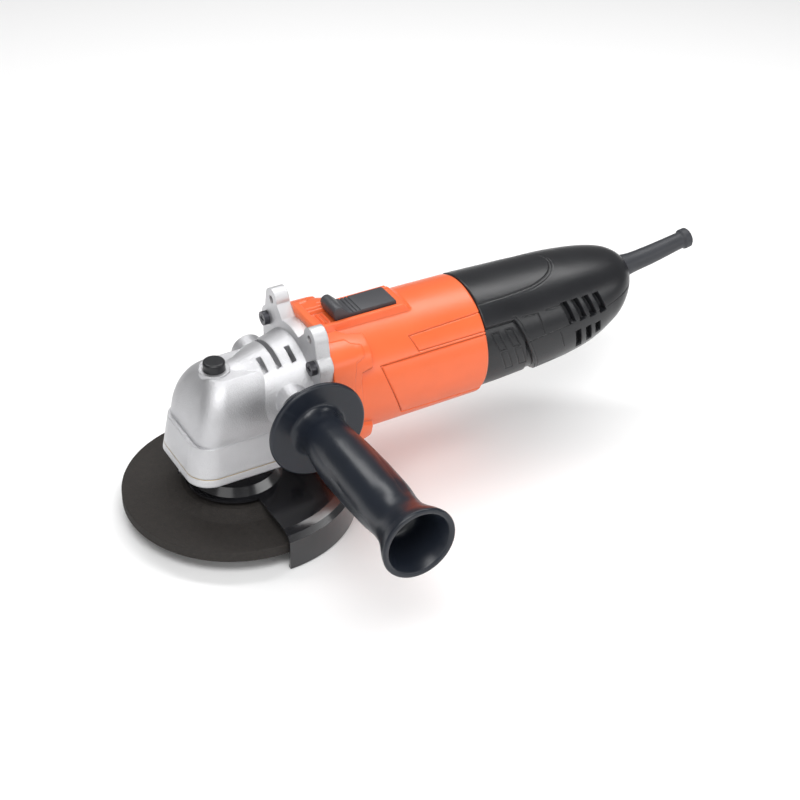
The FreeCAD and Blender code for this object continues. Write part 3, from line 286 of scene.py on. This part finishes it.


# The orange and black plastics get painted shade darkening their grooves and hollows.
orange = material("orange_plastic", (0.80, 0.135, 0.035), roughness=0.36, spread=0.03, grain=2200,
                  grain_depth=0.10, rough_spread=0.05, coat=0.15, wear=0.25, wear_color=(0.95, 0.36, 0.18), hollow_shade=0.85)
black = material("black_plastic", (0.012, 0.0125, 0.0145), roughness=0.31, spread=0.08, grain=2400,
                 grain_depth=0.14, rough_spread=0.06, wear=0.35, wear_color=(0.04, 0.042, 0.047), hollow_shade=0.9, shine=0.4)
grip_black = material("handle_plastic", (0.010, 0.013, 0.020), roughness=0.30, spread=0.10, grain=1500,
                      grain_depth=0.07, rough_spread=0.07, wear=0.3, wear_color=(0.035, 0.04, 0.05), shine=0.4)
switch_grey = material("switch_plastic", (0.050, 0.051, 0.057), roughness=0.45, spread=0.06, grain=2600,
                       grain_depth=0.16, bevel=0.0008)
cast = material("aluminium", (0.56, 0.56, 0.575), metallic=0.85, roughness=0.47, spread=0.06, grain=1500,
                grain_depth=0.75, rough_spread=0.05, bevel=0.0009, wear=0.5, wear_color=(0.72, 0.72, 0.73))
abrasive = abrasive_material()
gloss_black = material("black_steel", (0.012, 0.012, 0.014), roughness=0.16, spread=0.1, grain=500,
                       grain_depth=0.03, rough_spread=0.05, coat=0.5)
dark_steel = material("screw_steel", (0.09, 0.09, 0.10), metallic=0.9, roughness=0.38, grain=1500,
                      grain_depth=0.2, bevel=0.0003)
bright_steel = material("bright_steel", (0.60, 0.60, 0.62), metallic=1.0, roughness=0.27, grain=1700,
                        grain_depth=0.15, bevel=0.0003)
gear_steel = material("gear_steel", (0.38, 0.38, 0.40), metallic=1.0, roughness=0.36, grain=1500, grain_depth=0.2)
bronze = material("bronze", (0.62, 0.40, 0.19), metallic=1.0, roughness=0.36, grain=1500, grain_depth=0.3)
copper = material("copper", (0.62, 0.26, 0.12), metallic=0.9, roughness=0.3, grain=3000, grain_depth=0.5)
carbon = material("carbon", (0.03, 0.03, 0.032), roughness=0.6, grain=2500, grain_depth=0.2)
rubber = material("rubber", (0.028, 0.030, 0.036), roughness=0.50, spread=0.08, grain=2600, grain_depth=0.12)
fibre = material("fibre", (0.42, 0.33, 0.21), roughness=0.8, grain=1400, grain_depth=0.5)
by_slot = {
    "aluminium": cast, "orange_plastic": orange, "black_plastic": black, "handle_plastic": grip_black,
    "switch_plastic": switch_grey, "abrasive": abrasive, "black_steel": gloss_black, "screw_steel": dark_steel,
    "bright_steel": bright_steel, "gear_steel": gear_steel, "bronze": bronze, "copper": copper,
    "carbon": carbon, "rubber": rubber, "fibre": fibre,
}


def paint_cad_nodes():
    for part in frame["record"]["subparts"]:
        piece = frame["nodes"][part["node"]]
        piece.data.materials.clear()
        piece.data.materials.append(by_slot[part["material_slot"]])


# ---- motor housing ----
def motor_casing():
    rows, around = 300, 640
    xs = np.linspace(body_x0, seam_x, rows)
    angles = np.linspace(-math.pi / 2, 1.5 * math.pi, around, endpoint=False)
    x, a = np.meshgrid(xs, angles, indexing="ij")
    near = np.where(a > math.pi / 2, math.pi - a, a)
    base = 35.5 - 1.2 * (x - body_x0) / (seam_x - body_x0)
    s = near * 34.5
    radius = base.copy()
    # squarer front, with stepped shoulders round the flange screws
    power = 4.6
    square = (np.abs(np.cos(a) / 34.9) ** power + np.abs(np.sin(a) / 34.0) ** power) ** (-1 / power)
    square = np.maximum(square, base + 0.7)
    shoulder = unroll([(30, 100), (50, 83), (54, 73), (59.5, 63), (68, 60), (68, 45), (67.2, 30), (60.5, 28),
                       (59.6, 20), (59.6, -14), (60.5, -24), (67.2, -28), (68, -52), (60, -60), (56, -75),
                       (50, -90), (30, -100)], 34.5)
    lift = 1 - smooth(-0.5, 0.5, outline_distance(shoulder, x, s))
    taper = 1 - smooth(body_x0 + 14, body_x0 + 40, x) * 0.75
    radius = np.where(lift > 0, base + (square - base) * taper * lift, base)
    inner_step = unroll([(30, 60), (55.7, 57), (57.5, 52), (63, 49), (62.6, 40), (57.0, 37), (55.5, 27),
                         (55.0, 8), (30, 6)], 34.5)
    radius += step(outline_distance(inner_step, x, s), 0.9)
    # label panel and the tile above it
    panel = unroll([(73.1, 28), (150, 28.5), (150, -38), (86.7, -32), (80.1, -6), (76, 12)], 34.5)
    d = outline_distance(panel, x, s)
    radius += groove(np.abs(d), 0.9, 0.9) + step(d, -0.35)
    tile = unroll([(93.8, 47), (150, 50.5), (150, 31), (97.1, 31)], 34.5)
    d = outline_distance(tile, x, s)
    radius += groove(np.abs(d), 0.8, 0.75) + step(d, -0.25)
    # flat pad that the switch slides on, with its raised front
    up = np.clip(np.sin(a), 0.05, 1)
    pad_z = 36.2
    end = smooth(99.0, 103.0, x)
    pad_r = pad_z / up
    half = np.abs(pad_r * np.cos(a))
    wall = (1 - smooth(11.0, 13.6, half)) * (1 - end) * (np.sin(a) > 0.5)
    radius = np.where(wall > 0, np.maximum(radius, radius + (pad_r - radius) * wall), radius)
    rail_r = 37.3 / up
    rail = (smooth(8.1, 8.5, half) * (1 - smooth(10.6, 11.6, half)) * (1 - smooth(97.6, 98.6, x))
            * (np.sin(a) > 0.5))
    radius = radius + (np.maximum(rail_r, radius) - radius) * rail
    hump_r = 40.4 / up
    hump_half = np.abs(hump_r * np.cos(a))
    hump = (1 - smooth(12.5, 17.5, hump_half)) * (1 - smooth(46.2, 49.0, x)) * (np.sin(a) > 0.5)
    radius = radius + (np.maximum(hump_r, radius) - radius) * hump
    trench = (1 - smooth(6.6, 7.2, half)) * smooth(49.5, 50.2, x) * (1 - smooth(94, 95, x)) * (np.sin(a) > 0.5)
    radius -= 1.7 * trench
    for ridge_x in (53.0, 56.2):
        ridge = (1 - smooth(0.5, 0.9, np.abs(x - ridge_x))) * (1 - smooth(4.8, 5.6, half)) * (np.sin(a) > 0.5)
        radius += 1.1 * ridge
    # parting bead at the rear rim
    radius -= 0.5 * smooth(seam_x - 0.9, seam_x - 0.1, x)
    outer = np.stack([x, -radius * np.cos(a), radius * np.sin(a)], -1)
    inner_r = 32.4
    inner_x = np.array([seam_x, body_x0])
    xi, ai = np.meshgrid(inner_x, angles, indexing="ij")
    inner = np.stack([xi, -inner_r * np.cos(ai), inner_r * np.sin(ai)], -1)
    verts = np.concatenate([outer.reshape(-1, 3), inner.reshape(-1, 3)])
    faces = [f[::-1] for f in grid_faces(rows + 2, around)]
    piece = mesh_object("motor_casing", verts, faces, "housing", orange, ["motor_housing"])


# ---- rear handle ----
# distance behind the motor housing, top height, bottom depth and half width
HANDLE = [
    (0.5, 34.2, 34.2, 34.2), (14.0, 33.7, 33.8, 33.9), (28.0, 33.2, 32.9, 33.5), (45.0, 32.8, 31.8, 32.8),
    (61.0, 32.4, 29.9, 31.8), (73.0, 31.5, 27.5, 30.3), (84.0, 30.2, 23.5, 28.1), (93.0, 28.5, 17.5, 25.3),
    (100.0, 26.5, 10.7, 21.5), (105.5, 23.7, 3.3, 16.5), (108.8, 20.8, -3.1, 11.5), (110.0, 18.7, -6.5, 8.1),
]


def handle_casing():
    rows, around = 420, 640
    table = np.array(HANDLE)
    length = np.concatenate([[0], np.cumsum(np.hypot(np.diff(table[:, 0]), np.diff(table[:, 3])))])
    t = np.linspace(0, length[-1], rows)
    x1, top, bottom, half_w = (natural_curve(length, table[:, i], t) for i in range(4))
    x1 = x1 + seam_x
    angles = np.linspace(-math.pi / 2, 1.5 * math.pi, around, endpoint=False)
    x, a = np.meshgrid(x1, angles, indexing="ij")
    mid = ((top - bottom) / 2)[:, None]
    tall = ((top + bottom) / 2)[:, None]
    wide = half_w[:, None]
    y, z = -wide * np.cos(a), mid + tall * np.sin(a)
    polar = np.arctan2(z, np.abs(y))
    s = polar * 33.0
    lift = np.zeros(x.shape)
    fade = 1 - smooth(226, 238, x)
    # soft pad on top
    pad = unroll([(100, 56), (155.8, 57.5), (168, 59), (176.8, 60.5), (182, 63), (187, 66.5), (191, 71),
                  (194, 77), (195.6, 84), (196, 97), (100, 97)], 33.0)
    d = outline_distance(pad, x, s)
    lift += groove(np.abs(d), 0.7, 0.45) + step(d, 0.35)
    lift += groove(np.abs(outline_distance(pad, x, s) - 1.8), 0.55, 0.22) * smooth(172, 180, x)
    # sunk side panel with raised bars
    panel = unroll([(100, 33.5), (158.6, 33.0), (162, 20), (166.4, 0), (173.7, -29), (179.5, -60), (182.0, -90), (100, -90)], 33.0)
    d = outline_distance(panel, x, s)
    lift += step(d, -2.2, 0.35) + groove(np.abs(d), 1.0, 0.5)
    lift += groove(np.abs(d - 1.9), 0.5, 0.3) * smooth(157, 160, x)
    for x0 in (143.4, 152.4):
        for top_deg, bottom_deg, deep_line in ((26, 6, 0.55), (3, -20, 0.35)):
            lean = 0.21
            x_top, x_bottom = x0 + lean * (26 - top_deg), x0 + lean * (26 - bottom_deg)
            bar = unroll([(x_top, top_deg), (x_top + 4.4, top_deg), (x_bottom + 4.4, bottom_deg),
                          (x_bottom, bottom_deg)], 33.0)
            lift += groove(np.abs(outline_distance(bar, x, s)), 0.9, deep_line)
    # tiles and the crease where the shells part
    crease_deg = natural_curve(np.array([138.0, 167.6, 187.6, 208.0, 223.3, 236.0, 248.0]),
                               np.array([4.0, 8.0, 11.0, 14.0, 18.0, 25.0, 38.0]), x1)[:, None]
    off = s - np.radians(crease_deg) * 33.0
    behind = smooth(165.8, 167.0, x + (s + 5) * 0.2)
    lift += groove(np.abs(off), 0.8, 0.7) * behind
    lift -= 0.9 * behind * (1 - smooth(-0.3, 0.3, off)) * fade
    for points in ([(163.6, 34), (174, 33), (176.2, 12)], [(179.3, 34), (191.4, 34)], [(187.5, 7), (191.6, -14)],
                   [(178.5, -36), (189.0, -35)]):
        lift += groove(line_distance(unroll(points, 33.0), x, s), 0.65, 0.45)
    # vents
    deep = np.zeros(x.shape)
    upper = [(191.4, 195.9), (198.9, 203.8), (206.3, 211.3), (213.9, 218.9)]
    for x0, x2 in upper:
        slot = unroll([(x0 - 2.2, 36), (x0 + 2.2, 36.8), (x2 + 2.4, 13.0), (x2 - 2.2, 11.4)], 33.0)
        deep = np.maximum(deep, 1 - smooth(-0.5, 0.1, outline_distance(slot, x, s)))
    for x0, x2, low in ((200.1, 204.4, -27), (207.6, 211.4, -23), (214.8, 217.4, -16)):
        slot = unroll([(x0 - 1.9, 1), (x0 + 2.1, 2), (x2 + 1.9, low), (x2 - 2.1, low)], 33.0)
        deep = np.maximum(deep, 1 - smooth(-0.5, 0.1, outline_distance(slot, x, s)))
    lift -= 4.2 * deep
    lift -= 0.45 * (1 - smooth(seam_x + 0.35, seam_x + 1.0, x))
    norm = np.hypot(np.cos(a) * tall, np.sin(a) * wide)
    ny, nz = -np.cos(a) * tall / norm, np.sin(a) * wide / norm
    outer = np.stack([x, y + ny * lift, z + nz * lift], -1)
    inner_rows = []
    for x_in, shrink in ((245.0, 0.42), (233.0, 0.72), (212.0, 0.80), (150.0, 0.84), (seam_x + 0.5, 0.87)):
        i = int(np.argmin(np.abs(x1 - x_in)))
        inner_rows.append(np.stack([np.full(around, x_in), y[i] * shrink, mid[i] + (z[i] - mid[i]) * shrink], -1))
    verts = np.concatenate([outer.reshape(-1, 3)] + inner_rows)
    faces = [f[::-1] for f in grid_faces(rows + len(inner_rows), around)]
    piece = mesh_object("handle_casing", verts, faces, "housing", black, ["handle_upper", "handle_lower"])


def natural_curve(knots, values, t):
    """Smooth curve through values at knots, read at t: cubic pieces with limited slopes."""
    h = np.diff(knots)
    slope = np.diff(values) / h
    m = np.zeros(len(knots))
    m[0], m[-1] = slope[0], slope[-1]
    for i in range(1, len(knots) - 1):
        if slope[i - 1] * slope[i] > 0:
            w1, w2 = 2 * h[i] + h[i - 1], h[i] + 2 * h[i - 1]
            m[i] = (w1 + w2) / (w1 / slope[i - 1] + w2 / slope[i])
    i = np.clip(np.searchsorted(knots, t) - 1, 0, len(h) - 1)
    u = (t - knots[i]) / h[i]
    return ((2 * u**3 - 3 * u**2 + 1) * values[i] + (u**3 - 2 * u**2 + u) * h[i] * m[i]
            + (3 * u**2 - 2 * u**3) * values[i + 1] + (u**3 - u**2) * h[i] * m[i + 1])


# ---- side handle ----
def side_grip():
    low, high = node_mm("side_handle_grip")
    x, z = (low.x + high.x) / 2, (low.z + high.z) / 2
    end, near = -low.y, -high.y
    outline = rounded([
        (near, 4.2), (near, 8.6), (48.0, 9.2), (51.2, 12.0), (51.2, 26.3), (52.0, 27.1), (53.6, 27.2),
        (54.6, 26.2), (54.2, 15.2), (57.0, 13.4), (62.0, 12.6), (72.0, 13.8), (84.0, 14.8), (104.0, 15.0),
        (124.0, 14.6), (134.0, 13.6), (142.0, 13.9), (149.0, 16.2), (154.0, 18.6), (end - 1.2, 19.8),
        (end, 19.2), (end - 0.2, 16.8), (end - 5.0, 14.6), (end - 14.0, 12.6), (end - 22.0, 11.6),
        (end - 24.0, 6.0), (end - 24.0, 0.4), (70.0, 0.4), (70.0, 4.2),
    ], 3.0, 6)

    def facets(along, radius, angle):
        """Three long twisted flats on the grip."""
        if not 62 < along < 140 or radius < 12:
            return radius
        fade = smooth(62, 78, np.array(along)) * (1 - smooth(126, 140, np.array(along)))
        phase = angle - math.radians((along - 62) * 0.55)
        return radius * (1 + 0.10 * float(fade) * (abs(math.cos(1.5 * phase)) - 0.64))

    piece = turned_object("side_grip", outline, "housing", grip_black, (0, -1, 0), (x, 0, z),
                          ["side_handle_grip"], 180, facets)


# ---- cord guard ----
def cord_sleeve():
    low, high = node_mm("cord_guard")
    start, end = low.x + 2, high.x - 0.3
    # share of the sleeve's length, height of its centre and radius
    shape = np.array([(0.0, 11.7, 7.0), (0.18, 12.3, 6.9), (0.34, 13.2, 5.9), (0.52, 14.6, 5.6),
                      (0.68, 16.2, 5.3), (0.84, 18.0, 5.0), (1.0, 19.6, 4.8)])
    share = np.concatenate([np.linspace(0, 0.87, 60), np.linspace(0.88, 1.0, 20)])
    xs = start + (end - start) * share
    zs = natural_curve(shape[:, 0], shape[:, 1], share)
    rs = natural_curve(shape[:, 0], shape[:, 2], share)
    rs = rs + smooth(0.90, 0.93, share) * 1.1 - smooth(0.985, 1.0, share) * 0.8
    segments = 96
    verts = []
    for order, inside in ((range(len(xs)), False), (range(len(xs) - 1, -1, -1), True)):
        for i in order:
            j, k = min(i + 1, len(xs) - 1), max(i - 1, 0)
            tangent = Vector((xs[j] - xs[k], 0, zs[j] - zs[k])).normalized()
            up = Vector((-tangent.z, 0, tangent.x))
            r = 3.3 if inside else rs[i]
            for n in range(segments):
                b = 2 * math.pi * n / segments
                p = Vector((xs[i], 0, zs[i])) + up * (r * math.cos(b)) + Vector((0, 1, 0)) * (r * math.sin(b))
                verts.append(tuple(p))
    faces = [f[::-1] for f in grid_faces(2 * len(xs), segments)]
    piece = mesh_object("cord_sleeve", verts, faces, "housing", rubber, ["cord_guard"])


# ---- slide switch ----
def switch_button():
    x0, x1, half_w = slider_low.x, slider_high.x, (slider_high.y - slider_low.y) / 2
    top = slider_high.z
    plate, foot = top - 4.9, top - 7.75
    profile = [(x0 + 1.2, foot), (x0 + 0.3, foot + 2.5), (x0, top - 3.4)]
    profile += [(x0 + 3.2 - 3.2 * math.cos(a), top - 3.2 + 3.2 * math.sin(a))
                for a in np.radians([15, 32, 50, 68, 86, 104, 122, 138])]
    profile += [(x0 + 7.4, top - 2.7), (x0 + 9.0, plate + 0.5), (x0 + 10.4, plate + 0.1)]
    for groove_x in (x0 + 11, x0 + 13.2, x0 + 15.4):
        profile += [(groove_x, plate), (groove_x + 0.25, plate - 0.6), (groove_x + 0.75, plate - 0.6),
                    (groove_x + 1.0, plate)]
    profile += [(x1 - 1.5, plate), (x1 - 0.3, plate - 0.5), (x1, plate - 1.2), (x1, foot)]
    mesh = bmesh.new()
    sides = [[mesh.verts.new((x / 1000, y / 1000, (z + axis_z) / 1000)) for x, z in profile]
             for y in (-half_w, half_w)]
    mesh.faces.new(sides[0])
    mesh.faces.new(sides[1][::-1])
    count = len(profile)
    for i in range(count):
        j = (i + 1) % count
        mesh.faces.new((sides[0][j], sides[0][i], sides[1][i], sides[1][j]))
    bmesh.ops.recalc_face_normals(mesh, faces=mesh.faces)
    rims = [e for e in mesh.edges if abs(e.verts[0].co.y - e.verts[1].co.y) < 1e-7]
    bmesh.ops.bevel(mesh, geom=rims, offset=0.0003, segments=3, profile=0.5, affect="EDGES")
    data = bpy.data.meshes.new("switch_button")
    mesh.to_mesh(data)
    mesh.free()
    data.polygons.foreach_set("use_smooth", [True] * len(data.polygons))
    data.set_sharp_from_angle(angle=math.radians(40))
    data.materials.append(switch_grey)
    piece = bpy.data.objects.new("switch_button", data)
    bpy.context.scene.collection.objects.link(piece)
    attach(piece, "switch_slider")
    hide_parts("switch_slider")


# ---- stage ----
def camera():
    azimuth, elevation, roll = math.radians(-29.9), math.radians(34.9), math.radians(0.9)
    back = Vector((math.sin(azimuth) * math.cos(elevation), -math.cos(azimuth) * math.cos(elevation),
                   math.sin(elevation)))
    right = Vector((math.cos(azimuth), math.sin(azimuth), 0))
    up = back.cross(right)
    side = right * math.cos(roll) + up * math.sin(roll)
    top = -right * math.sin(roll) + up * math.cos(roll)
    place = Vector((0, 0, axis_z / 1000)) + back * 0.956 + side * 0.089
    data = bpy.data.cameras.new("camera")
    data.lens = 81.0
    data.sensor_width = 36.0
    cam = bpy.data.objects.new("camera", data)
    turn = Matrix((side, top, back)).transposed().to_4x4()
    cam.matrix_world = Matrix.Translation(place) @ turn
    bpy.context.scene.collection.objects.link(cam)
    bpy.context.scene.camera = cam


def area_light(name, place, target, size, power, color=(1, 1, 1)):
    data = bpy.data.lights.new(name, "AREA")
    data.shape = "RECTANGLE"
    data.size, data.size_y = size
    data.energy = power
    data.color = color
    lamp = bpy.data.objects.new(name, data)
    direction = Vector(target) - Vector(place)
    lamp.matrix_world = Matrix.Translation(place) @ direction.to_track_quat("-Z", "Y").to_matrix().to_4x4()
    bpy.context.scene.collection.objects.link(lamp)


def stage():
    floor_z = cad_box[0][2] - 0.0005
    size = 6.0
    mesh = bpy.data.meshes.new("floor")
    mesh.from_pydata([(-size, -size, floor_z), (size, -size, floor_z), (size, size, floor_z), (-size, size, floor_z)],
                     [], [(0, 1, 2, 3)])
    floor = bpy.data.objects.new("floor", mesh)
    bpy.context.scene.collection.objects.link(floor)
    pale = bpy.data.materials.new("pale_floor")
    pale.use_nodes = True
    pale.node_tree.nodes["Principled BSDF"].inputs["Base Color"].default_value = (0.93, 0.93, 0.93, 1)
    pale.node_tree.nodes["Principled BSDF"].inputs["Roughness"].default_value = 0.9
    mesh.materials.append(pale)
    world = bpy.data.worlds.new("studio")
    world.use_nodes = True
    world.node_tree.nodes["Background"].inputs["Color"].default_value = (1, 1, 1, 1)
    world.node_tree.nodes["Background"].inputs["Strength"].default_value = 0.24
    bpy.context.scene.world = world
    bpy.context.scene.view_settings.view_transform = "Standard"
    area_light("key", (-0.25, -0.55, 1.1), (0.1, 0, 0.05), (0.9, 0.5), 9.5)
    area_light("long_strip", (0.35, 0.35, 0.9), (0.1, 0, 0.05), (1.4, 0.25), 8.0)
    area_light("side_strip", (0.60, -1.05, 0.46), (0.12, 0, 0.05), (1.7, 0.22), 5.0)
    area_light("fill", (-0.9, -0.7, 0.45), (0.05, 0, 0.03), (0.7, 0.7), 2.2)


camera()
stage()
paint_cad_nodes()
motor_casing()
handle_casing()
side_grip()
cord_sleeve()
switch_button()
